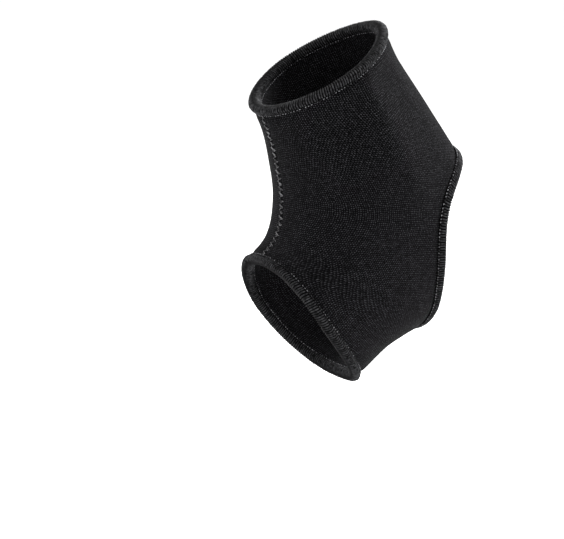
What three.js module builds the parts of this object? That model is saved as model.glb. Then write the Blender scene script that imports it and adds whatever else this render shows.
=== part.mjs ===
// An ankle brace: one neoprene sleeve, open at the top, in front and over the heel, with a stitched hem
// wrapped round the edge of each opening. It keeps the shape that it has when it is worn.
// Millimetres, +Z up. The front opening faces -X and the heel opening faces +X. The sides face -Y and +Y.
// The origin is the middle of the centre line's bend, where an ankle turns.

import * as THREE from "three";

const { clamp, degToRad, lerp } = THREE.MathUtils;

// The centre line: a straight stretch below the top opening, a bend, and a straight stretch to the front.
const TOP_STRAIGHT = 16.5;
const BEND_RADIUS = 93;
const FRONT_STRAIGHT = 7;
const TOP_LEAN = 23; // degrees that the top stretch leans forward
const FRONT_DROP = 50; // degrees that the front stretch falls below level

// The furthest that the sleeve's outer face gets from the centre line.
const FRONT_REACH = 36;
const BACK_REACH = 71;
const SIDE_REACH = 37;
const WALL = 3; // neoprene with a knitted face on both sides

// The edges of the openings, measured along the centre line.
const TOP_SLANT = 5.4; // rise of the top edge at the back, and its dip in front
const FRONT_SLANT = 8.8; // lead of the front edge underneath, and its lag on top
const FRONT_BOW = 2.6; // lead of the front edge at the sides
const HEEL_START = 51; // from the top opening to the heel opening
const HEEL_LENGTH = 51;
const HEEL_SPREAD = 51.5; // degrees from the middle of the back to each side of the heel opening
const HEEL_SKEW = 0.24; // how much wider the heel opening is near its top than near its bottom

// The hems: a layer of thread over both faces of the sleeve and round its edge.
const HEM_WIDTH = 5.5;
const HEM_THICK = 1.1;
const HEM_CHAMFER = 0.7;
const HEM_GAP = 0.4; // kept between a hem and the sleeve

// Cross-sections of the sleeve. along is a share of the centre line's length, and front, back and side are
// shares of the three reaches. A roundness of 2 is an ellipse, and less is more pointed.
const SECTIONS = [
  { along: 0.0, front: 0.99, back: 0.5, side: 0.93, frontRound: 1.9, backRound: 1.7 },
  { along: 0.15, front: 1.0, back: 0.545, side: 0.95, frontRound: 1.9, backRound: 1.7 },
  { along: 0.35, front: 0.98, back: 0.74, side: 1.0, frontRound: 1.9, backRound: 1.8 },
  { along: 0.55, front: 0.9, back: 1.0, side: 0.97, frontRound: 1.9, backRound: 1.8 },
  { along: 0.75, front: 0.83, back: 0.88, side: 0.93, frontRound: 2.0, backRound: 2.0 },
  { along: 0.9, front: 0.89, back: 0.655, side: 0.92, frontRound: 2.1, backRound: 2.2 },
  { along: 1.0, front: 0.88, back: 0.59, side: 0.93, frontRound: 2.1, backRound: 2.3 },
];

// How finely the faces are divided.
const COLUMNS = 44;
const TOP_ROWS = 8;
const HEEL_ROWS = 26;
const FRONT_ROWS = 5;

const CLOTH = { color: 0x1c1c1e, roughness: 0.85, metalness: 0 };
const THREAD = { color: 0x2a2a2b, roughness: 0.7, metalness: 0 };

const START_HEADING = degToRad(TOP_LEAN - 90);
const BEND_ANGLE = degToRad(90 + TOP_LEAN - FRONT_DROP);
const BEND_LENGTH = BEND_RADIUS * BEND_ANGLE;
const LENGTH = TOP_STRAIGHT + BEND_LENGTH + FRONT_STRAIGHT;
const STEP = 1e-3; // for slopes taken by small differences

// The direction square to a heading, towards the front, in the XZ plane.
function frontOf(heading) {
  return new THREE.Vector3(Math.sin(heading), 0, -Math.cos(heading));
}

// The centre line's point at a distance s from the top opening, with the direction to the front there.
function centreLine(s) {
  const bent = clamp(s - TOP_STRAIGHT, 0, BEND_LENGTH);
  const straight = s - TOP_STRAIGHT - bent;
  const heading = START_HEADING - bent / BEND_RADIUS;
  const front = frontOf(heading);
  const point = frontOf(START_HEADING - BEND_ANGLE / 2)
    .multiplyScalar(BEND_RADIUS)
    .addScaledVector(front, -BEND_RADIUS)
    .add(new THREE.Vector3(Math.cos(heading), 0, Math.sin(heading)).multiplyScalar(straight));
  return { point, front };
}

// How fast a column of the table changes at one of its rows.
function slopeAt(i, key) {
  const before = SECTIONS[Math.max(i - 1, 0)];
  const after = SECTIONS[Math.min(i + 1, SECTIONS.length - 1)];
  return (after[key] - before[key]) / (after.along - before.along);
}

// A column of the table at any share of the length, on a smooth curve through the rows.
function sectionValue(key, along) {
  const inside = clamp(along, 0, 1);
  const i = Math.max(0, SECTIONS.findIndex((row) => row.along >= inside) - 1);
  const span = SECTIONS[i + 1].along - SECTIONS[i].along;
  const t = (inside - SECTIONS[i].along) / span;
  const end = along < inside ? slopeAt(0, key) : slopeAt(SECTIONS.length - 1, key);
  return (
    (1 + 2 * t) * (1 - t) ** 2 * SECTIONS[i][key] +
    t * (1 - t) ** 2 * span * slopeAt(i, key) +
    t * t * (3 - 2 * t) * SECTIONS[i + 1][key] +
    t * t * (t - 1) * span * slopeAt(i + 1, key) +
    end * (along - inside)
  );
}

// A point of the sleeve's outer face. turn runs round the section, from the middle of the back at 0, past
// the -Y side, to the middle of the front at half a turn, and back past the +Y side.
function outerFace({ s, turn }) {
  const { point, front } = centreLine(s);
  const value = (key) => sectionValue(key, s / LENGTH);
  const forward = -Math.cos(turn);
  const sideways = -Math.sin(turn);
  const reach = forward > 0 ? FRONT_REACH * value("front") : BACK_REACH * value("back");
  const power = 2 / (forward > 0 ? value("frontRound") : value("backRound"));
  const shaped = (part) => Math.sign(part) * Math.abs(part) ** power;
  point.addScaledVector(front, reach * shaped(forward));
  point.y += SIDE_REACH * value("side") * shaped(sideways);
  return point;
}

// The slopes of the outer face along s and along turn, and its outward normal.
function frameAt({ s, turn }) {
  const slope = (ds, dTurn) =>
    outerFace({ s: s + ds, turn: turn + dTurn })
      .sub(outerFace({ s: s - ds, turn: turn - dTurn }))
      .divideScalar(2 * STEP);
  const alongS = slope(STEP, 0);
  const alongTurn = slope(0, STEP);
  const normal = new THREE.Vector3().crossVectors(alongTurn, alongS).normalize();
  return { alongS, alongTurn, normal };
}

// A point at a height over the outer face, below it where the height is negative.
function overFace(place, height) {
  return outerFace(place).addScaledVector(frameAt(place).normal, height);
}

// The edges of the openings, each as a place on the outer face for an angle from 0 to a full turn. Seen from
// outside, each runs with its opening on the left and the sleeve on the right.
function topEdge(angle) {
  return { s: -TOP_SLANT * Math.cos(angle), turn: angle };
}

function frontEdge(angle) {
  const turn = 2 * Math.PI - angle;
  return { s: LENGTH + FRONT_SLANT * Math.cos(turn) + FRONT_BOW * Math.sin(turn) ** 2, turn };
}

function heelEdge(angle) {
  const spread = degToRad(HEEL_SPREAD) * (1 - HEEL_SKEW * Math.cos(angle));
  return {
    s: HEEL_START + (HEEL_LENGTH / 2) * (1 + Math.cos(angle)),
    turn: spread * Math.sin(angle),
  };
}

// Rows of places that cover the sleeve from its top edge to its front edge. A row that crosses the heel
// opening runs from one side of it round the front to the other, and any other row closes on itself. Rows
// that meet the heel opening close together fan out towards the front.
function sleeveRows() {
  const columns = Array.from({ length: COLUMNS + 1 }, (_, column) => column / COLUMNS);
  const closedRow = (edgeAt, start, share) =>
    columns.map((column) => {
      const turn = 2 * Math.PI * column;
      return { s: lerp(start, edgeAt(turn).s, share), turn };
    });
  const openRow = (share) => {
    const { s, turn } = heelEdge(Math.PI * (1 - share));
    const evenly = HEEL_START + HEEL_LENGTH * share;
    return columns.map((column) => ({
      s: lerp(s, evenly, Math.sin(Math.PI * column)),
      turn: lerp(turn, 2 * Math.PI - turn, column),
    }));
  };
  const rows = [];
  for (let i = TOP_ROWS; i >= 0; i--) {
    rows.push({ open: false, places: closedRow(topEdge, HEEL_START, i / TOP_ROWS) });
  }
  for (let i = 1; i < HEEL_ROWS; i++) {
    rows.push({ open: true, places: openRow(i / HEEL_ROWS) });
  }
  const frontEdgeAt = (turn) => frontEdge(2 * Math.PI - turn);
  for (let i = 0; i <= FRONT_ROWS; i++) {
    rows.push({ open: false, places: closedRow(frontEdgeAt, HEEL_START + HEEL_LENGTH, i / FRONT_ROWS) });
  }
  return rows;
}

// A geometry from points and triangles of their indices.
function geometryOf(points, triangles) {
  const geometry = new THREE.BufferGeometry().setFromPoints(points);
  geometry.setIndex(triangles.flat());
  geometry.computeVertexNormals();
  return geometry;
}

// The sleeve: its outer face, the same face one wall further in, and a rim along every edge between them.
// The faces' diagonals lean the same way from the front round both sides, so that the two sides match.
function sleeveGeometry() {
  const rows = sleeveRows();
  const places = rows.flatMap((row) => row.places);
  const index = (row, column) => row * (COLUMNS + 1) + (rows[row].open ? column : column % COLUMNS);
  const faces = [];
  for (let row = 0; row < rows.length - 1; row++) {
    for (let column = 0; column < COLUMNS; column++) {
      const [a, b] = [index(row, column), index(row, column + 1)];
      const [c, d] = [index(row + 1, column + 1), index(row + 1, column)];
      faces.push(...(column < COLUMNS / 2 ? [[a, b, d], [b, c, d]] : [[a, b, c], [a, c, d]]));
    }
  }
  const open = new Map();
  for (const [a, b] of faces.flatMap(([a, b, c]) => [[a, b], [b, c], [c, a]])) {
    if (!open.delete(`${b} ${a}`)) open.set(`${a} ${b}`, [a, b]);
  }
  const below = (i) => i + places.length;
  const inner = faces.map(([a, b, c]) => [below(c), below(b), below(a)]);
  const rims = [...open.values()].flatMap(([a, b]) => [[b, a, below(a)], [b, below(a), below(b)]]);
  const points = [...places.map((p) => outerFace(p)), ...places.map((p) => overFace(p, -WALL))];
  return geometryOf(points, [...faces, ...inner, ...rims]);
}

// A hem's cross-section. across is the distance past the sleeve's edge, and height the distance over its
// outer face. It runs round the outside, from the outer leg to the inner one, and back along the sleeve.
function hemSection() {
  const top = HEM_GAP + HEM_THICK;
  const bottom = -WALL - top;
  const middle = -WALL / 2;
  const roll = (angle) => ({
    across: top * Math.cos(angle),
    height: middle + (top - middle) * Math.sin(angle),
  });
  return [
    { across: -HEM_WIDTH, height: HEM_GAP },
    { across: -HEM_WIDTH + HEM_CHAMFER, height: top },
    { across: -HEM_WIDTH / 2, height: top },
    roll(Math.PI / 2),
    roll(Math.PI / 4),
    roll(0),
    roll(-Math.PI / 4),
    roll(-Math.PI / 2),
    { across: -HEM_WIDTH / 2, height: bottom },
    { across: -HEM_WIDTH + HEM_CHAMFER, height: bottom },
    { across: -HEM_WIDTH, height: -WALL - HEM_GAP },
    { across: -HEM_WIDTH / 2, height: -WALL - HEM_GAP },
    { across: HEM_GAP, height: -WALL - HEM_GAP },
    { across: HEM_GAP, height: HEM_GAP },
    { across: -HEM_WIDTH / 2, height: HEM_GAP },
  ];
}

// The place on the outer face that lies a short distance from another, in a direction along the face.
function placeBeside(place, direction, distance) {
  const { alongS, alongTurn } = frameAt(place);
  const [ss, st, tt] = [alongS.dot(alongS), alongS.dot(alongTurn), alongTurn.dot(alongTurn)];
  const [ds, dt] = [alongS.dot(direction), alongTurn.dot(direction)];
  const scale = distance / (ss * tt - st * st);
  return { s: place.s + scale * (ds * tt - dt * st), turn: place.turn + scale * (dt * ss - ds * st) };
}

// A hem: its section carried round one edge. The part over the sleeve follows the sleeve's own curve.
function hemGeometry(edge, stations) {
  const section = hemSection();
  const points = [];
  for (let i = 0; i < stations; i++) {
    const angle = (2 * Math.PI * i) / stations;
    const place = edge(angle);
    const { normal } = frameAt(place);
    const travel = outerFace(edge(angle + STEP)).sub(outerFace(edge(angle - STEP)));
    const outward = new THREE.Vector3().crossVectors(travel, normal).normalize();
    for (const { across, height } of section) {
      const onSleeve = placeBeside(place, outward, Math.min(across, 0));
      points.push(overFace(onSleeve, height).addScaledVector(outward, Math.max(across, 0)));
    }
  }
  const at = (i, k) => (i % stations) * section.length + (k % section.length);
  const triangles = [];
  for (let i = 0; i < stations; i++) {
    for (let k = 0; k < section.length; k++) {
      triangles.push([at(i, k), at(i, k + 1), at(i + 1, k + 1)], [at(i, k), at(i + 1, k + 1), at(i + 1, k)]);
    }
  }
  return geometryOf(points, triangles);
}

function meshOf(name, geometry, finish) {
  const mesh = new THREE.Mesh(geometry, new THREE.MeshStandardMaterial(finish));
  mesh.name = name;
  return mesh;
}

const brace = new THREE.Group();
brace.add(
  meshOf("sleeve", sleeveGeometry(), CLOTH),
  meshOf("top_hem", hemGeometry(topEdge, COLUMNS), THREAD),
  meshOf("front_hem", hemGeometry(frontEdge, COLUMNS), THREAD),
  meshOf("heel_hem", hemGeometry(heelEdge, 2 * HEEL_ROWS), THREAD),
);

export default brace;
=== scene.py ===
# A pull-on ankle brace: one bent neoprene sleeve with an overlocked hem round each of its three openings
# and a flat zigzag seam down the front. Metres, +Z up, the front opening towards -X, the heel opening
# towards +X.
import math

import bmesh
import bpy
import numpy as np
from mathutils import Matrix, Vector


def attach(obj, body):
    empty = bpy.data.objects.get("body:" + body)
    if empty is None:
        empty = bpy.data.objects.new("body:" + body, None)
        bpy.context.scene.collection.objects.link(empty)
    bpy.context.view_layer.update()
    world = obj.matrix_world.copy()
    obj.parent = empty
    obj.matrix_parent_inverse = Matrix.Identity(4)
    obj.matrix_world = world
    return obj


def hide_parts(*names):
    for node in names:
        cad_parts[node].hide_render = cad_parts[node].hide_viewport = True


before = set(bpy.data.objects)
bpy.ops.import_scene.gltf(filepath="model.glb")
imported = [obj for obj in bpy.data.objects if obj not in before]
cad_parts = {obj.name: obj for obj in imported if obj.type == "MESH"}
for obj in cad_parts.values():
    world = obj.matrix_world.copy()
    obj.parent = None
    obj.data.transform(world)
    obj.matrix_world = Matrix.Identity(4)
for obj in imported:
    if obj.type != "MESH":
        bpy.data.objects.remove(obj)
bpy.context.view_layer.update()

MM = 0.001

# The brace's form, the same as in its solids. The centre line is a straight stretch, a bend and another
# straight stretch.
TOP_STRAIGHT = 16.5 * MM
BEND_RADIUS = 93 * MM
FRONT_STRAIGHT = 7 * MM
TOP_LEAN = math.radians(23)
FRONT_DROP = math.radians(50)
FRONT_REACH = 36 * MM
BACK_REACH = 71 * MM
SIDE_REACH = 37 * MM
WALL = 3 * MM
TOP_SLANT = 5.4 * MM
FRONT_SLANT = 8.8 * MM
FRONT_BOW = 2.6 * MM
HEEL_START = 49.8 * MM
HEEL_LENGTH = 52.2 * MM
HEEL_SPREAD = math.radians(51.5)
HEEL_SKEW = 0.24

# Cross-sections of the sleeve. along is a share of the centre line's length, and front, back and side
# are shares of the three reaches. A roundness of 2 is an ellipse, and less is more pointed.
SECTIONS = [
    {"along": 0.0, "front": 0.99, "back": 0.5, "side": 0.93, "front_round": 1.9, "back_round": 1.7},
    {"along": 0.15, "front": 1.0, "back": 0.545, "side": 0.95, "front_round": 1.9, "back_round": 1.7},
    {"along": 0.35, "front": 0.98, "back": 0.74, "side": 1.0, "front_round": 1.9, "back_round": 1.8},
    {"along": 0.55, "front": 0.9, "back": 1.0, "side": 0.97, "front_round": 1.9, "back_round": 1.8},
    {"along": 0.75, "front": 0.83, "back": 0.88, "side": 0.93, "front_round": 2.0, "back_round": 2.0},
    {"along": 0.9, "front": 0.89, "back": 0.655, "side": 0.92, "front_round": 2.1, "back_round": 2.2},
    {"along": 1.0, "front": 0.88, "back": 0.59, "side": 0.93, "front_round": 2.1, "back_round": 2.3},
]

# Where the worn sleeve stands out over its solid: the places along the centre line, the widths and the
# heights.
SWELLINGS = {
    "front": [(60 * MM, 40 * MM, 0.5 * MM)],
    "back": [(49 * MM, 9 * MM, 2.2 * MM), (101 * MM, 9 * MM, 1.8 * MM)],
}

# A soft ridge down each side of the worn sleeve, with a hollow behind it. The turn is the ridge's place
# at the top.
RIDGE_TURN = 1.5
RIDGE_SLANT = 0.42  # how far back it turns over the centre line's length
RIDGE_WIDTH = 0.16
RIDGE_HEIGHT = 0.8 * MM
HOLLOW_SHARE = 1.4  # of its depth to the ridge's height
HOLLOW_OFFSET = 2.6  # from the ridge to its middle, in widths of the ridge
HOLLOW_WIDTH = 1.5  # the same unit
RIDGE_RISE = 12 * MM  # the length over which the ridge comes up at the top
RIDGE_END = 80 * MM
RIDGE_FALL = 30 * MM  # the length over which it goes away
RIDGE_OFF_HEM = 5 * MM  # the same towards a hem

# How finely the sleeve is divided, and how much closer its columns lie at the front seam.
COLUMNS = 280
TOP_ROWS = 58
HEEL_ROWS = 62
FRONT_ROWS = 28
COLUMN_CROWDING = 0.6

# The hems: overlock thread round a flared edge, held by a line of needle stitches.
HEM_REACHES = {"top": 3.3 * MM, "front": 3.4 * MM, "heel": 4.8 * MM}  # from the edge to the border
HEM_ROLL = 1.2 * MM  # from the sleeve's edge to where the hem's roll begins
HEM_TIP = 0.7 * MM  # of the roll past the sleeve's edge
HEM_RISE = 1.6 * MM  # of the hem over the sleeve where the roll begins
HEM_INNER_RISE = 0.6 * MM  # the same inside the sleeve
HEM_STEP = 0.45 * MM  # of the hem over the sleeve just past its border
HEM_LOW = 0.1 * MM  # of its border over the sleeve
HEM_SHOULDER = 0.8 * MM  # the width of the step
HEM_LINING = 0.02 * MM  # of the hem's hidden side over the sleeve
HEM_SHOWN = 0.7  # the share of the hem's rows that shows, the rest being its hidden side
HEM_ROWS = 44
HEM_FLANK_POINTS = 30
HEM_ROLL_POINTS = 61
STITCH_PITCH = 1.2 * MM
NEEDLE_PITCH = 1.5 * MM
NEEDLE_INSET = 0.35 * MM  # of the needle stitches from the hem's border
NEEDLE_SHARE = 0.5  # of a needle stitch's length to the pitch
NEEDLE_LOW = 0.2 * MM  # of its ends and its middle over the hem
NEEDLE_CREST = 0.5 * MM
WRAP_LEAN = 0.3  # how far a wrapping thread leans to each side, as a share of the pitch
WRAP_INSET = 0.1 * MM  # of its ends from the hem's borders, and of the thread over the hem
WRAP_SINK = 0.3 * MM
LINK_HALF = 0.5 * MM  # of a link's length round the hem
LINK_GAP = 0.1  # at each end of a link, as a share of the pitch
LINK_LIFT = 0.12 * MM

# The seam down the front.
SEAM_PITCH = 2.7 * MM
SEAM_WIDTH = 3.6 * MM
SEAM_START = 2.8 * MM  # from the sleeve's edges to the first and last stitch
SEAM_TURN = 0.55  # where the long strand ends, as a share of the pitch
SEAM_SHORT_START = 0.42  # the short strand's ends, in the same way
SEAM_SHORT_END = 0.75
SEAM_SHORT_WIDTH = 0.6  # of the short strand to the long one
SEAM_STRAND_LIFT = 0.34 * MM
SEAM_SHORT_LIFT = 0.2 * MM
SEAM_SINK = 0.25 * MM

# The half widths and heights of the threads, and how many faces they have along and round them.
WRAP = {"width": 0.32 * MM, "height": 0.42 * MM, "segments": 13, "sides": 4}
LINK = {"width": 0.2 * MM, "height": 0.25 * MM, "segments": 3, "sides": 4}
NEEDLE = {"width": 0.3 * MM, "height": 0.22 * MM, "segments": 4, "sides": 4}
SEAM_STRAND = {"width": 0.24 * MM, "height": 0.24 * MM, "segments": 9, "sides": 6}
SEAM_SHORT_STRAND = {"width": 0.16 * MM, "height": 0.16 * MM, "segments": 10, "sides": 6}
SEAM_RETURN = {"width": 0.12 * MM, "height": 0.08 * MM, "segments": 9, "sides": 4}

# How far the stitches stray along their row and in height.
HEM_STRAY = {"shift": 0.07 * MM, "lift": 0.035 * MM}
SEAM_STRAY = {"shift": 0.12 * MM, "lift": 0.03 * MM}

# How the stitches shape the cloth: the distance from a hem's border or the seam's middle, the width and
# the height.
NEEDLE_DIP = {"at": NEEDLE_INSET, "width": 1.2 * MM, "height": -0.4 * MM}
HEM_SWELL = {"at": NEEDLE_INSET + 3.4 * MM, "width": 2.2 * MM, "height": 0.2 * MM}
SEAM_GROOVE = {"at": 0, "width": 0.45 * MM, "height": -0.5 * MM}
SEAM_PINCH = {"at": SEAM_WIDTH / 2, "width": 0.8 * MM, "height": -0.2 * MM}

# The jersey's ribs and loops, in millimetres.
RIB_WIDTH = 1.08
LOOP_HEIGHT = 0.92

# How uneven the jersey is. Ribs and loops stray by shares of their size.
SPECKLE = 0.55 * MM  # the size of its speckles
SPECKLE_CONTRAST = 2.3
FIBRE = 0.22 * MM
CLOUD = 14 * MM
CLOUD_CONTRAST = 0.02
RIB_WAVER = 2.6 * MM  # the length over which a rib wavers
LOOP_STRAY = 2.2 * MM  # the length over which the loops go up and down
STRAY_SHARE = 0.9
LOOP_SAG = 0.6  # of a loop's sides below its middle
LOOP_SHARPNESS = 5  # the more of it, the smaller the bright part of a loop
DULL_LOOP = 0.55  # the brightness of the dullest loop
PAINTED_GLINT = 0.85  # a painted glint: how much brighter the colour of the brightest loop is

# The colours of the cloth and the threads, some with painted glints and highlights in them, and the
# threads' gloss and unevenness.
JERSEY_DARK = (0.0004, 0.0004, 0.0005)
JERSEY_BRIGHT = (0.042, 0.0415, 0.0455)
# The bed is black thread, coloured far darker than the overlock thread: partly painted shade in the gaps
# between the stitches.
BED_DARK = (0.0006, 0.0006, 0.0007)
BED_BRIGHT = (0.003, 0.003, 0.0033)
OVERLOCK_THREAD = {
    "dark": (0.001, 0.001, 0.0011),
    "bright": (0.055, 0.055, 0.058),
    "rough": 0.5,
    "shine": 0.05,
    "contrast": 2.2,
}
# The needle thread's bright colour is a light grey: painted highlights on a glossy black thread.
NEEDLE_THREAD = {
    "dark": (0.006, 0.006, 0.0065),
    "bright": (0.2, 0.2, 0.21),
    "rough": 0.4,
    "shine": 0.1,
    "contrast": 5.0,
}
# The seam thread's bright colour is a light grey: painted highlights on a glossy black thread.
SEAM_THREAD = {
    "dark": (0.002, 0.002, 0.0022),
    "bright": (0.18, 0.18, 0.185),
    "rough": 0.4,
    "shine": 0.05,
    "contrast": 4.0,
}
THREAD_TWIST = 0.45  # the length of a turn of the threads' twist, in millimetres
CREST_PAINTED_SHADE = 0.85  # how much darker the overlock thread is painted at a hem's crest: painted shade along the roll's edge
CREST_WIDTH = 1.5  # the width of that painted shade, in millimetres
BED_RIDGE = 0.3  # the width of the ridges under the stitches, in millimetres

START_HEADING = TOP_LEAN - math.pi / 2
BEND_ANGLE = math.pi / 2 + TOP_LEAN - FRONT_DROP
BEND_LENGTH = BEND_RADIUS * BEND_ANGLE
LENGTH = TOP_STRAIGHT + BEND_LENGTH + FRONT_STRAIGHT
LOT = 2000  # how many points are measured at a time
STEP = 1e-4  # for slopes taken by small differences
TURN_STEP = 0.03  # the same for a turn, wide enough to pass over places where the face stands still


def lerp(start, end, share):
    return start + (end - start) * share


def smooth(value):
    """0 below 0, 1 above 1, and a soft rise between."""
    t = np.clip(value, 0, 1)
    return t * t * (3 - 2 * t)


def bump(distance, width):
    """1 at no distance, falling away over a width."""
    return np.exp(-((distance / width) ** 2))


def unit(vectors):
    return vectors / np.linalg.norm(vectors, axis=-1, keepdims=True)


def dot(a, b):
    return np.sum(a * b, axis=-1)


def lengths_along(points):
    """The length from the first point of a line to each of its points."""
    steps = np.linalg.norm(np.diff(points, axis=0), axis=1)
    return np.concatenate([[0], np.cumsum(steps)])


# The form of the sleeve

def front_of(heading):
    """The direction square to a heading, towards the front, in the XZ plane."""
    return np.stack([np.sin(heading), 0 * heading, -np.cos(heading)], axis=-1)


def centre_line(s):
    """The centre line's point at a distance s from the top opening, and the way to the front there."""
    bent = np.clip(s - TOP_STRAIGHT, 0, BEND_LENGTH)
    straight = (s - TOP_STRAIGHT - bent)[..., None]
    heading = START_HEADING - bent / BEND_RADIUS
    front = front_of(heading)
    middle = front_of(np.array(START_HEADING - BEND_ANGLE / 2))
    onward = np.stack([np.cos(heading), 0 * heading, np.sin(heading)], axis=-1)
    return (middle - front) * BEND_RADIUS + onward * straight, front


def section_value(key, along):
    """A column of the table at any share of the length, on a smooth curve through the rows."""
    x = np.array([row["along"] for row in SECTIONS])
    v = np.array([row[key] for row in SECTIONS])
    rows = np.arange(len(x))
    before, after = np.maximum(rows - 1, 0), np.minimum(rows + 1, len(x) - 1)
    slope = (v[after] - v[before]) / (x[after] - x[before])
    inside = np.clip(along, 0, 1)
    i = np.clip(np.searchsorted(x, inside) - 1, 0, len(x) - 2)
    span = x[i + 1] - x[i]
    t = (inside - x[i]) / span
    end = np.where(along < inside, slope[0], slope[-1])
    return (
        (1 + 2 * t) * (1 - t) ** 2 * v[i]
        + t * (1 - t) ** 2 * span * slope[i]
        + t * t * (3 - 2 * t) * v[i + 1]
        + t * t * (t - 1) * span * slope[i + 1]
        + end * (along - inside)
    )


def reach_of(side, s):
    """How far the outer face reaches to the front or to the back."""
    plain = {"front": FRONT_REACH, "back": BACK_REACH}[side] * section_value(side, s / LENGTH)
    return plain + sum(height * bump(s - place, width) for place, width, height in SWELLINGS[side])


def outer_face(s, turn):
    """A point of the sleeve's outer face. turn runs from the back, past -Y, to the front at pi."""
    point, front = centre_line(s)
    value = {key: section_value(key, s / LENGTH) for key in ("side", "front_round", "back_round")}
    forward, sideways = -np.cos(turn), -np.sin(turn)
    ahead = forward > 0
    reach = np.where(ahead, reach_of("front", s), reach_of("back", s))
    power = 2 / np.where(ahead, value["front_round"], value["back_round"])
    point = point + front * (reach * np.sign(forward) * np.abs(forward) ** power)[..., None]
    point[..., 1] += SIDE_REACH * value["side"] * np.sign(sideways) * np.abs(sideways) ** power
    return point


def frame_at(s, turn):
    """The slopes of the outer face along s and along turn, and its outward normal."""
    ds = STEP * LENGTH
    along_s = (outer_face(s + ds, turn) - outer_face(s - ds, turn)) / (2 * ds)
    along_turn = (outer_face(s, turn + TURN_STEP) - outer_face(s, turn - TURN_STEP)) / (2 * TURN_STEP)
    return along_s, along_turn, unit(np.cross(along_turn, along_s))


def over_face(s, turn, height):
    """A point at a height over the outer face, below it where the height is negative."""
    return outer_face(s, turn) + frame_at(s, turn)[2] * height[..., None]


def backward(turn, along):
    """How far back a turn lies, as a share of the section's reach to that side."""
    cosine = np.cos(turn)
    side = np.where(cosine > 0, section_value("back_round", along), section_value("front_round", along))
    return np.sign(cosine) * np.abs(cosine) ** (2 / side)


def top_edge(angle):
    return -TOP_SLANT * backward(angle, 0.0), angle


def front_edge(angle):
    turn = 2 * math.pi - angle
    return LENGTH + FRONT_SLANT * backward(turn, 1.0) + FRONT_BOW * np.sin(turn) ** 2, turn


def heel_edge(angle):
    spread = HEEL_SPREAD * (1 - HEEL_SKEW * np.cos(angle))
    return HEEL_START + HEEL_LENGTH / 2 * (1 + np.cos(angle)), spread * np.sin(angle)


class Edge:
    """The edge of one opening. It lays flat work: x along the edge, y past it, z over the sleeve."""

    SAMPLES = 2880
    ROUNDS = 3  # of closing in on the point of the sleeve that is nearest to a place beside its edge
    COARSE = 8  # one in so many of its points is enough to tell how far the edge is

    def __init__(self, places, hem_reach):
        self.places, self.hem_reach = places, hem_reach
        self.angles = np.linspace(0, 2 * math.pi, self.SAMPLES + 1)
        self.points = outer_face(*places(self.angles))
        self.distances = lengths_along(self.points)
        self.length = self.distances[-1]

    def lay(self, x, y, z):
        angle = np.interp(x % self.length, self.distances, self.angles)
        s, turn = self.places(angle)
        after = outer_face(*self.places(angle + TURN_STEP))
        before = outer_face(*self.places(angle - TURN_STEP))
        travel = after - before
        outward = unit(np.cross(travel, frame_at(s, turn)[2]))
        target = outer_face(s, turn) + outward * np.minimum(y, 0)[..., None]
        for _ in range(self.ROUNDS):
            # s and turn each take the step that makes up for the miss, as far as the two slopes tell.
            along_s, along_turn, _ = frame_at(s, turn)
            miss = target - outer_face(s, turn)
            ss, st, tt = dot(along_s, along_s), dot(along_s, along_turn), dot(along_turn, along_turn)
            on_s, on_turn = dot(along_s, miss), dot(along_turn, miss)
            area = ss * tt - st * st
            s, turn = s + (on_s * tt - on_turn * st) / area, turn + (on_turn * ss - on_s * st) / area
        return over_face(s, turn, z) + outward * np.maximum(y, 0)[..., None]


EDGE_PLACES = {"top": top_edge, "front": front_edge, "heel": heel_edge}
EDGES = {name: Edge(places, HEM_REACHES[name]) for name, places in EDGE_PLACES.items()}


class FrontLine:
    """The middle of the front. It lays flat work: x down from the top edge, y to one side, z over it."""

    SAMPLES = 1200

    def __init__(self):
        ends = [edge(np.array(math.pi))[0] for edge in (top_edge, front_edge)]
        self.s = np.linspace(*ends, self.SAMPLES + 1)
        self.distances = lengths_along(outer_face(self.s, np.full_like(self.s, math.pi)))
        self.length = self.distances[-1]

    def lay(self, x, y, z):
        s = np.interp(x, self.distances, self.s)
        side = SIDE_REACH * section_value("side", s / LENGTH)
        sine = (np.abs(y) / side) ** (section_value("front_round", s / LENGTH) / 2)
        return over_face(s, math.pi + np.arcsin(sine) * np.sign(y), z)


FRONT_LINE = FrontLine()


class ClothLengths:
    """Lengths over the outer face in millimetres: round from the back, and down from the middle."""

    def __init__(self, s_steps=160, turn_steps=240):
        self.s = np.linspace(-2 * TOP_SLANT, LENGTH + 2 * FRONT_SLANT, s_steps)
        self.turn = np.linspace(0, math.pi, turn_steps)
        points = outer_face(self.s[:, None], self.turn[None, :]) / MM
        round_steps = np.linalg.norm(np.diff(points, axis=1), axis=2)
        down_steps = np.linalg.norm(np.diff(points, axis=0), axis=2)
        self.round = np.pad(np.cumsum(round_steps, axis=1), ((0, 0), (1, 0)))
        self.down = np.pad(np.cumsum(down_steps, axis=0), ((1, 0), (0, 0)))
        self.down -= self.down[s_steps // 2]

    def at(self, s, turn):
        """Both lengths at places of the outer face, the first without its side."""
        near = np.minimum(turn, 2 * math.pi - turn)
        i = np.interp(s, self.s, np.arange(len(self.s)))
        j = np.interp(near, self.turn, np.arange(len(self.turn)))
        i0 = np.minimum(i.astype(int), len(self.s) - 2)
        j0 = np.minimum(j.astype(int), len(self.turn) - 2)

        def between(table):
            here = lerp(table[i0, j0], table[i0, j0 + 1], j - j0)
            further = lerp(table[i0 + 1, j0], table[i0 + 1, j0 + 1], j - j0)
            return lerp(here, further, i - i0)

        return between(self.round), between(self.down)


# Making pieces

def positions(bm):
    return np.array([vertex.co for vertex in bm.verts]).T


def place_all(bm, points):
    """Moves every vertex to its new point."""
    for vertex, point in zip(bm.verts, points):
        vertex.co = point


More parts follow.
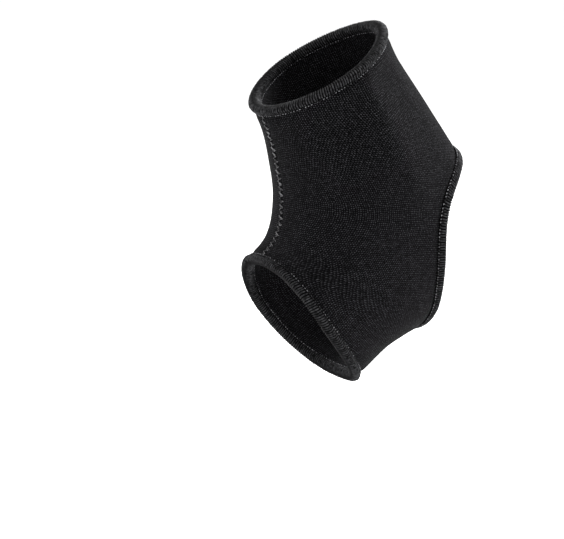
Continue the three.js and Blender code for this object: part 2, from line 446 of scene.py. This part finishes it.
def grid(columns, rows):
    """A flat sheet of cells, 1 by 1, from the origin."""
    bm = bmesh.new()
    bmesh.ops.create_grid(bm, x_segments=columns, y_segments=rows, size=0.5)
    bmesh.ops.translate(bm, verts=bm.verts, vec=(0.5, 0.5, 0))
    return bm


def weld(bm, distance=1e-7):
    bmesh.ops.remove_doubles(bm, verts=bm.verts, dist=distance)


def map_cloth(bm, lengths, name="cloth"):
    """Gives each corner its lengths in millimetres. lengths takes a vertex and a face."""
    layer = bm.loops.layers.uv.new(name)
    for face in bm.faces:
        for loop in face.loops:
            loop[layer].uv = lengths(loop.vert, face)


def piece(name, bm, finish):
    """A finished piece of the brace, which rides on it and takes a finish."""
    for face in bm.faces:
        face.smooth = True
    mesh = bpy.data.meshes.new(name)
    bm.to_mesh(mesh)
    bm.free()
    mesh.materials.append(finish)
    made = bpy.data.objects.new(name, mesh)
    bpy.context.scene.collection.objects.link(made)
    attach(made, "root")
    return made


# The sleeve

def to_nearest_hem(points):
    """The distance from each point to the border of the nearest hem, below 0 under the hem."""
    lines = np.concatenate([edge.points[::Edge.COARSE] for edge in EDGES.values()])
    reaches = np.repeat([edge.hem_reach for edge in EDGES.values()], len(lines) // len(EDGES))

    def nearest(some):
        return (np.linalg.norm(some[:, None] - lines, axis=2) - reaches).min(1)

    lots = np.array_split(points, 1 + len(points) // LOT)
    return np.concatenate([nearest(some) for some in lots])


def sleeve_places(column, row):
    """The places (s, turn) of a flat sheet's points once it is wrapped round from back to back.

    Its rows go down in three bands: above the heel opening, beside it and past it.
    """
    share = column + COLUMN_CROWDING / (2 * math.pi) * np.sin(2 * math.pi * column)
    total = TOP_ROWS + HEEL_ROWS + FRONT_ROWS
    level = np.interp(row * total, np.cumsum([0, TOP_ROWS, HEEL_ROWS, FRONT_ROWS]), range(4))
    turn = 2 * math.pi * share
    in_top = lerp(top_edge(turn)[0], HEEL_START, level)
    in_front = lerp(HEEL_START + HEEL_LENGTH, front_edge(2 * math.pi - turn)[0], level - 2)
    down = np.clip(level - 1, 0, 1)
    start_s, start_turn = heel_edge(math.pi * (1 - down))
    in_heel = lerp(start_s, HEEL_START + HEEL_LENGTH * down, np.sin(math.pi * share))
    heel_turn = lerp(start_turn, 2 * math.pi - start_turn, share)
    near_top, near_heel = level < 1 + STEP, level < 2 - STEP
    s = np.where(near_top, in_top, np.where(near_heel, in_heel, in_front))
    return s, np.where(near_heel & ~near_top, heel_turn, turn)


def swell(distance, form):
    """The height of one of the forms that the stitches give to the cloth."""
    return form["height"] * bump(distance - form["at"], form["width"])


def relief(points, s, turn):
    """How far the worn sleeve stands over its plain form."""
    gap = to_nearest_hem(points)
    at_hem = swell(gap, NEEDLE_DIP) + swell(gap, HEM_SWELL)
    from_seam = np.abs(points[:, 1])
    at_seam = (swell(from_seam, SEAM_GROOVE) + swell(from_seam, SEAM_PINCH)) * (np.cos(turn) < 0)
    from_ridge = np.minimum(turn, 2 * math.pi - turn) - RIDGE_TURN + RIDGE_SLANT * s / LENGTH
    ridge = bump(from_ridge, RIDGE_WIDTH)
    hollow = HOLLOW_SHARE * bump(from_ridge + RIDGE_WIDTH * HOLLOW_OFFSET, RIDGE_WIDTH * HOLLOW_WIDTH)
    stretch = smooth(s / RIDGE_RISE) * smooth((RIDGE_END - s) / RIDGE_FALL)
    off_hem = smooth(gap / RIDGE_OFF_HEM)
    return at_hem + at_seam + RIDGE_HEIGHT * (ridge - hollow) * stretch * off_hem


def make_sleeve(finish):
    bm = grid(COLUMNS, TOP_ROWS + HEEL_ROWS + FRONT_ROWS)
    column, row, _ = positions(bm)
    s, turn = sleeve_places(column, row)
    around, down = ClothLengths().at(s, turn)

    def on_cloth(vertex, face):
        side = 1 if face.calc_center_median().x < 0.5 else -1
        return side * around[vertex.index], down[vertex.index]

    map_cloth(bm, on_cloth)
    place_all(bm, over_face(s, turn, relief(outer_face(s, turn), s, turn)))
    weld(bm, 1e-6)
    bmesh.ops.solidify(bm, geom=bm.faces[:], thickness=WALL)
    return piece("sleeve_cloth", bm, finish)


# The hems

class HemSection:
    """A hem's outline across the edge, from the border outside, round the roll, to the one inside."""

    def __init__(self, reach):
        flank = np.linspace(-reach, -HEM_ROLL, HEM_FLANK_POINTS, endpoint=False)
        step = lerp(HEM_LOW, HEM_STEP, smooth((flank + reach) / HEM_SHOULDER))
        ramp = (flank + reach) / (reach - HEM_ROLL)
        bend = np.linspace(math.pi / 2, -math.pi / 2, HEM_ROLL_POINTS)
        roll_y = -HEM_ROLL + (HEM_ROLL + HEM_TIP) * np.cos(bend)
        roll_z = lerp(HEM_RISE, -WALL - HEM_INNER_RISE, (1 - np.sin(bend)) / 2)
        outside = step + (HEM_RISE - HEM_STEP) * ramp
        inside = step + (HEM_INNER_RISE - HEM_STEP) * ramp
        y = np.concatenate([flank, roll_y, flank[::-1]])
        z = np.concatenate([outside, roll_z, -WALL - inside[::-1]])
        self.points = np.stack([y, z], axis=1)
        self.distances = lengths_along(self.points)
        self.girth = self.distances[-1]
        self.crest = self.distances[np.argmax(y)]
        slope = unit(np.gradient(self.points, axis=0))
        self.normals = np.stack([-slope[:, 1], slope[:, 0]], axis=1)

    def at(self, girth, lift):
        """Across and over the sleeve's edge, from a length round the section and a height over it."""
        columns = (*self.points.T, *self.normals.T)
        y, z, out_y, out_z = [np.interp(girth, self.distances, column) for column in columns]
        return y + out_y * lift, z + out_z * lift


def make_hem(name, edge, finish):
    """The rolled edge itself: a band whose hidden side lies on the sleeve."""
    hem = HemSection(edge.hem_reach)
    stations = round(edge.length / STITCH_PITCH) * 2
    bm = grid(stations, HEM_ROWS)
    column, row, _ = positions(bm)
    map_cloth(bm, lambda vertex, face: (vertex.co.x * edge.length / MM, vertex.co.y * hem.girth / MM))
    outside = np.clip(row / HEM_SHOWN, 0, 1)
    y, z = hem.at(outside * hem.girth, 0 * row)
    back = np.clip((row - HEM_SHOWN) / (1 - HEM_SHOWN), 0, 1)
    corners = [0, 0.45, 0.55, 1]
    hidden_y = np.interp(back, corners, [-edge.hem_reach, HEM_TIP / 2, HEM_TIP / 2, -edge.hem_reach])
    hidden_z = np.interp(back, corners, [-WALL, -WALL, 0, 0])
    hidden_z += np.where(hidden_z < -WALL / 2, -HEM_LINING, HEM_LINING)
    hidden = (row > HEM_SHOWN) & (row < 1)
    y, z = np.where(hidden, hidden_y, y), np.where(hidden, hidden_z, z)
    # The last row closes the band on the first one.
    y, z = np.where(row == 1, y[row == 0][0], y), np.where(row == 1, z[row == 0][0], z)
    place_all(bm, edge.lay(column * edge.length, y, z))
    weld(bm, 1e-6)
    return piece(name, bm, finish)


# Threads

def thread(path, width, height, segments, sides):
    """One round-ended thread on flat cloth, along a path that gives points for shares from 0 to 1."""
    bm = grid(segments, sides)
    along, around, _ = positions(bm)
    centre = path(along)
    tangent = unit(path(along + STEP) - path(along - STEP))
    side = unit(np.cross([0, 0, 1], tangent))
    over = np.cross(tangent, side)
    taper = np.sqrt(np.clip(1 - (2 * along - 1) ** 6, 0, 1))
    angle = 2 * math.pi * around
    wide = (width * taper * np.cos(angle))[:, None]
    high = (height * taper * np.sin(angle))[:, None]
    length = lengths_along(path(np.linspace(0, 1, 20)))[-1] / MM
    map_cloth(bm, lambda vertex, face: (vertex.co.x * length, vertex.co.y))
    place_all(bm, centre + side * wide + over * high)
    weld(bm)
    bmesh.ops.recalc_face_normals(bm, faces=bm.faces[:])
    return bm


def join(parts):
    """Puts several meshes in the first one."""
    first = parts[0]
    for other in parts[1:]:
        mesh = bpy.data.meshes.new("part")
        other.to_mesh(mesh)
        other.free()
        first.from_mesh(mesh)
        bpy.data.meshes.remove(mesh)
    return first


def repeat(bm, count, pitch):
    """Copies a stitch along X, and says which copy each vertex belongs to."""
    first = bm.verts[:] + bm.edges[:] + bm.faces[:]
    each = len(bm.verts)
    for i in range(1, count):
        copied = bmesh.ops.duplicate(bm, geom=first)["geom"]
        moved = [part for part in copied if isinstance(part, bmesh.types.BMVert)]
        bmesh.ops.translate(bm, verts=moved, vec=(i * pitch, 0, 0))
    bm.verts.ensure_lookup_table()
    return np.arange(len(bm.verts)) // each


def stack(x, y, z):
    return np.stack(np.broadcast_arrays(x, y, z), axis=-1)


def sunk(share, depth):
    """How far a thread's ends go down into the cloth."""
    return -depth * np.clip(np.abs(2 * share - 1) * 4 - 3, 0, 1) ** 2


def over_hem(hem, pitch):
    """One thread on flat cloth that wraps the edge, and the short link to the next one at the crest."""
    def wrap(share):
        lean = WRAP_LEAN * pitch * np.cos(2 * math.pi * share)
        girth = lerp(WRAP_INSET, hem.girth - WRAP_INSET, share)
        return stack(lean, girth, WRAP_INSET + sunk(share, WRAP_SINK))

    def link(share):
        girth = hem.crest + lerp(-LINK_HALF, LINK_HALF, share)
        return stack(lerp(LINK_GAP, 1 - LINK_GAP, share) * pitch, girth, LINK_LIFT)

    return join([thread(wrap, **WRAP), thread(link, **LINK)])


def needle_stitches(hem, pitch):
    """One short stitch along the hem's border on each face of the sleeve."""
    def along(girth):
        def path(share):
            lift = lerp(NEEDLE_LOW, NEEDLE_CREST, np.sin(math.pi * share))
            return stack((share - 0.5) * pitch * NEEDLE_SHARE, girth, lift)
        return path

    ends = NEEDLE_INSET, hem.girth - NEEDLE_INSET
    return join([thread(along(girth), **NEEDLE) for girth in ends])


def out_of_place(spread, count, seed):
    """How far each stitch of a row is shifted along it, and how far it is lifted."""
    random = np.random.default_rng(seed)
    return random.normal(0, spread["shift"], count), random.normal(0, spread["lift"], count)


def make_hem_threads(name, edge, stitch, near_pitch, finish, seed):
    """One row of a stitch all round a hem, each a little out of place."""
    hem = HemSection(edge.hem_reach)
    count = round(edge.length / near_pitch)
    pitch = edge.length / count
    bm = stitch(hem, pitch)
    which = repeat(bm, count, pitch)
    x, girth, over = positions(bm)
    shift, lift = out_of_place(HEM_STRAY, count, seed)
    from_crest = girth - hem.crest
    map_cloth(bm, lambda vertex, face: (x[vertex.index] / MM, from_crest[vertex.index] / MM), "hem")
    place_all(bm, edge.lay(x + shift[which], *hem.at(girth, over + lift[which])))
    return piece(name, bm, finish)


def make_seam_threads(name, finish, seed, outside=True):
    """The flat seam down the front: on each stitch two strands lie on top and one comes back under."""
    half = SEAM_WIDTH / 2
    line = FRONT_LINE.length - 2 * SEAM_START
    count = round(line / SEAM_PITCH)
    pitch = line / count

    def strand(start_x, start_y, end_x, end_y, height):
        def path(share):
            z = height * np.sin(math.pi * np.clip(share, 0, 1)) ** 0.5 + sunk(share, SEAM_SINK)
            return stack(lerp(start_x, end_x, share), lerp(start_y, end_y, share), z)
        return path

    turn, short = pitch * SEAM_TURN, half * SEAM_SHORT_WIDTH
    start, end = pitch * SEAM_SHORT_START, pitch * SEAM_SHORT_END
    bm = join([
        thread(strand(0, half, turn, -half, SEAM_STRAND_LIFT), **SEAM_STRAND),
        thread(strand(start, short, end, -short, SEAM_SHORT_LIFT), **SEAM_SHORT_STRAND),
        thread(strand(turn, -half, pitch, half, 0), **SEAM_RETURN),
    ])
    which = repeat(bm, count, pitch)
    x, y, z = positions(bm)
    shift, lift = out_of_place(SEAM_STRAY, count, seed)
    over = z + lift[which]
    height = over if outside else -WALL - over
    place_all(bm, FRONT_LINE.lay(x + SEAM_START + shift[which], y, height))
    if not outside:
        bmesh.ops.reverse_faces(bm, faces=bm.faces[:])
    return piece(name, bm, finish)


# Finishes

class Signal:
    """One output of a finish's nodes. Sums, products and the like of it add Math nodes."""

    def __init__(self, finish, socket):
        self.finish, self.socket = finish, socket

    def math(self, operation, *values):
        return self.finish.node("ShaderNodeMath", {"operation": operation}, dict(enumerate(values)))

    def fract(self):
        return self.math("FRACT", self)

    def floor(self):
        return self.math("FLOOR", self)

    def absolute(self):
        return self.math("ABSOLUTE", self)

    def sine(self):
        return self.math("SINE", self)

    def exponential(self):
        return self.math("EXPONENT", self)

    def __add__(self, other):
        return self.math("ADD", self, other)

    def __sub__(self, other):
        return self.math("SUBTRACT", self, other)

    def __mul__(self, other):
        return self.math("MULTIPLY", self, other)

    def __truediv__(self, other):
        return self.math("DIVIDE", self, other)

    def __rsub__(self, other):
        return self.math("SUBTRACT", other, self)

    def __pow__(self, other):
        return self.math("POWER", self, other)

    __radd__ = __add__
    __rmul__ = __mul__


class Finish:
    """A material under construction."""

    def __init__(self, name):
        self.material = bpy.data.materials.new(name)
        self.material.use_nodes = True
        self.tree = self.material.node_tree
        self.tree.nodes.clear()

    def node(self, kind, settings=(), inputs=(), output=0):
        """Adds a node from its settings and the values or signals of its inputs, by name or number."""
        made = self.tree.nodes.new(kind)
        for key, value in dict(settings).items():
            setattr(made, key, value)
        for key, value in dict(inputs).items():
            if isinstance(value, Signal):
                self.tree.links.new(value.socket, made.inputs[key])
            else:
                made.inputs[key].default_value = value
        return Signal(self, made.outputs[output])

    def mix(self, factor, first, second):
        """A colour between two colours. The node's colour inputs are 6 and 7, its colour output 2."""
        inputs = {"Factor": factor, 6: (*first, 1), 7: (*second, 1)}
        return self.node("ShaderNodeMix", {"data_type": "RGBA"}, inputs, 2)

    def noise(self, where, size, detail=2.0, roughness=0.5):
        """Soft noise whose lumps are about a size across."""
        inputs = {"Vector": where, "Scale": 1 / size, "Detail": detail, "Roughness": roughness}
        return self.node("ShaderNodeTexNoise", {}, inputs)

    def done(self, colour, rough, height, depth, **constants):
        """Joins the colour, the roughness and the relief in one cloth shader."""
        normal = self.node("ShaderNodeBump", {}, {"Height": height, "Distance": depth, "Strength": 1.0})
        inputs = {"Base Color": colour, "Roughness": rough, "Normal": normal, **constants}
        shader = self.node("ShaderNodeBsdfPrincipled", {}, inputs)
        end = self.tree.nodes.new("ShaderNodeOutputMaterial")
        self.tree.links.new(shader.socket, end.inputs["Surface"])
        return self.material

    def object_place(self):
        """The place on the object, in metres."""
        return self.node("ShaderNodeTexCoord", output="Object")

    def lengths(self, layer):
        """The two lengths, in millimetres, that a layer of the mesh gives."""
        where = self.node("ShaderNodeUVMap", {"uv_map": layer})
        return [self.node("ShaderNodeSeparateXYZ", {}, {0: where}, axis) for axis in range(2)]


def jersey():
    """Black knitted jersey over neoprene: fine ribs of small loops, some made brighter than others by
    random painted glints.
    """
    finish = Finish("black_jersey")
    round_way, down_way = finish.lengths("cloth")
    where = finish.object_place()
    speckle = finish.noise(where, SPECKLE, 0.0)
    fibre = finish.noise(where, FIBRE, 2.0)
    cloud = finish.noise(where, CLOUD, 2.0)
    stray = finish.noise(where, LOOP_STRAY, 1.0) - 0.5
    waver = finish.noise(where, RIB_WAVER, 1.0) - 0.5
    rib = round_way / RIB_WIDTH + waver * STRAY_SHARE
    from_middle = (rib.fract() - 0.5).absolute() * 2
    course = down_way / LOOP_HEIGHT + from_middle * LOOP_SAG + stray * STRAY_SHARE
    knit = (course.fract() * math.pi).sine() * (1 - from_middle ** 3)
    cell = finish.node("ShaderNodeCombineXYZ", {}, {0: rib.floor(), 1: course.floor()})
    # Each loop gets a random painted glint in its colour.
    glint = finish.node("ShaderNodeTexWhiteNoise", {"noise_dimensions": "2D"}, {"Vector": cell})
    grain = (speckle - 0.5) * SPECKLE_CONTRAST + 1.0
    shade = (cloud - 0.5) * CLOUD_CONTRAST
    light = knit ** LOOP_SHARPNESS * (DULL_LOOP + glint ** 2 * PAINTED_GLINT) * grain + shade
    colour = finish.mix(light, JERSEY_DARK, JERSEY_BRIGHT)
    height = knit * (0.6 + glint * 0.4) + speckle * 0.6 + fibre * 0.2
    return finish.done(
        colour, 0.8 + speckle * 0.12, height, 0.08 * MM,
        **{"Sheen Weight": 0.01, "Sheen Roughness": 0.4, "Specular IOR Level": 0.02},
    )


def thread_finish(name, dark, bright, rough, shine, contrast, paint_crest_shade=False):
    """Twisted black thread. On a hem, painted shade darkens it along the crest."""
    finish = Finish(name)
    along, around = finish.lengths("cloth")
    where = finish.object_place()
    turn = (along / THREAD_TWIST + around) * (2 * math.pi)
    twist = turn.sine() * 0.5 + 0.5
    fibre = finish.noise(where, 0.12 * MM, 2.0)
    tone = finish.noise(where, 1.3 * MM, 1.0)
    light = twist * 0.3 + (tone - 0.5) * contrast + 0.35
    if paint_crest_shade:
        # Painted shade: the thread's colour is darkened along the hem's crest.
        from_crest = finish.lengths("hem")[1] / CREST_WIDTH
        light = light * (1 - CREST_PAINTED_SHADE * (0 - from_crest * from_crest).exponential())
    colour = finish.mix(light, dark, bright)
    return finish.done(
        colour, rough + fibre * 0.2, twist * 0.8 + fibre * 0.35, 0.06 * MM,
        **{"Specular IOR Level": shine},
    )


def hem_finish():
    """The thread packed under the stitches: fine ridges across the hem. Its near-black colour is black
    thread and partly painted shade in the gaps between the stitches.
    """
    finish = Finish("hem_thread_bed")
    along = finish.lengths("cloth")[0]
    where = finish.object_place()
    turn = along * (2 * math.pi / BED_RIDGE)
    ridge = turn.sine() * 0.5 + 0.5
    tone = finish.noise(where, 0.5 * MM, 2.0)
    colour = finish.mix(ridge * 0.5 + tone * 0.5, BED_DARK, BED_BRIGHT)
    return finish.done(
        colour, 0.65 + tone * 0.2, ridge * 0.7 + tone * 0.5, 0.08 * MM,
        **{"Specular IOR Level": 0.02},
    )


# The view and the light

# The camera looks from the front left of the -Y side and a little from above.
VIEW_AZIMUTH = math.radians(-28)
VIEW_HEIGHT = math.radians(10)
VIEW_DISTANCE = 1.1
VIEW_ASIDE = -28.5 * MM  # of the picture's middle from the origin, to the right
VIEW_ABOVE = -31.5 * MM
MM_PER_PIXEL = 0.47 * MM
PICTURE_WIDTH = 564
SENSOR = 36.0

# The soft lights: their places from the camera's point of view, their sizes and their power in watts.
SOFT_BOXES = {
    "right_light": {"right": 0.62, "up": 0.95, "back": -0.2, "size": 0.5, "power": 33},
    "left_light": {"right": -0.75, "up": 0.75, "back": 0.0, "size": 0.6, "power": 8},
}
SKY_STRENGTH = 0.5
SKY_ANGLE = 1.2

RIGHT = Vector((math.cos(VIEW_AZIMUTH), math.sin(VIEW_AZIMUTH), 0))
BACK = Vector((
    math.sin(VIEW_AZIMUTH) * math.cos(VIEW_HEIGHT),
    -math.cos(VIEW_AZIMUTH) * math.cos(VIEW_HEIGHT),
    math.sin(VIEW_HEIGHT),
))
UP = BACK.cross(RIGHT)
FLOOR_HEIGHT = -0.135
FLOOR_HALF = 8
FLOOR_DARK = (0.87, 0.87, 0.87)
FLOOR_BRIGHT = (0.9, 0.9, 0.9)


def turned(x_axis, y_axis, z_axis, place):
    """A matrix from its three axes and its place."""
    turn = Matrix((x_axis, y_axis, z_axis)).transposed().to_4x4()
    return Matrix.Translation(place) @ turn


def make_camera():
    data = bpy.data.cameras.new("camera")
    data.sensor_width = SENSOR
    data.lens = SENSOR * VIEW_DISTANCE / (MM_PER_PIXEL * PICTURE_WIDTH)
    camera = bpy.data.objects.new("camera", data)
    place = RIGHT * VIEW_ASIDE + UP * VIEW_ABOVE + BACK * VIEW_DISTANCE
    camera.matrix_world = turned(RIGHT, UP, BACK, place)
    bpy.context.scene.collection.objects.link(camera)
    bpy.context.scene.camera = camera


def soft_box(name, right, up, back, size, power):
    """A square soft light, at a place given from the camera's point of view and turned to the brace."""
    data = bpy.data.lights.new(name, "AREA")
    data.shape = "SQUARE"
    data.size = size
    data.energy = power
    light = bpy.data.objects.new(name, data)
    place = RIGHT * right + UP * up + BACK * back
    light.matrix_world = Matrix.Translation(place) @ place.to_track_quat("Z", "Y").to_matrix().to_4x4()
    bpy.context.scene.collection.objects.link(light)


def make_studio():
    world = bpy.data.worlds.new("studio")
    world.use_nodes = True
    background = world.node_tree.nodes["Background"]
    background.inputs["Color"].default_value = (1, 1, 1, 1)
    background.inputs["Strength"].default_value = 1.0
    bpy.context.scene.world = world
    sky = bpy.data.lights.new("sky_light", "SUN")
    sky.energy = SKY_STRENGTH
    sky.angle = SKY_ANGLE
    sky_light = bpy.data.objects.new("sky_light", sky)
    bpy.context.scene.collection.objects.link(sky_light)
    for name, light in SOFT_BOXES.items():
        soft_box(name, **light)
    bpy.context.scene.view_settings.view_transform = "Standard"


def make_floor():
    bm = bmesh.new()
    bmesh.ops.create_grid(bm, x_segments=24, y_segments=24, size=FLOOR_HALF)
    bmesh.ops.translate(bm, verts=bm.verts, vec=(0, 0, FLOOR_HEIGHT))
    finish = Finish("pale_floor")
    grain = finish.noise(finish.object_place(), 30 * MM, 3.0)
    finish.done(finish.mix(grain, FLOOR_DARK, FLOOR_BRIGHT), 0.8 + grain * 0.1, grain, 0.05 * MM)
    mesh = bpy.data.meshes.new("floor")
    bm.to_mesh(mesh)
    bm.free()
    mesh.materials.append(finish.material)
    floor = bpy.data.objects.new("floor", mesh)
    bpy.context.scene.collection.objects.link(floor)


make_camera()
make_studio()
make_floor()

cloth_finish = jersey()
bed_finish = hem_finish()
overlock_finish = thread_finish("overlock_thread", **OVERLOCK_THREAD, paint_crest_shade=True)
needle_finish = thread_finish("needle_thread", **NEEDLE_THREAD)
seam_finish = thread_finish("seam_thread", **SEAM_THREAD)

sleeve = make_sleeve(cloth_finish)
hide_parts("sleeve")
hem_pieces = []
for seed, (name, edge) in enumerate(EDGES.items()):
    roll = make_hem(name + "_hem_roll", edge, bed_finish)
    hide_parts(name + "_hem")
    threads = make_hem_threads(
        name + "_hem_threads", edge, over_hem, STITCH_PITCH, overlock_finish, seed
    )
    needle_row = make_hem_threads(
        name + "_hem_needle_row", edge, needle_stitches, NEEDLE_PITCH, needle_finish, seed + len(EDGES)
    )
    hem_pieces += [roll, threads, needle_row]
seams = [
    make_seam_threads("front_seam_outside", seam_finish, seed=11),
    make_seam_threads("front_seam_inside", seam_finish, seed=12, outside=False),
]
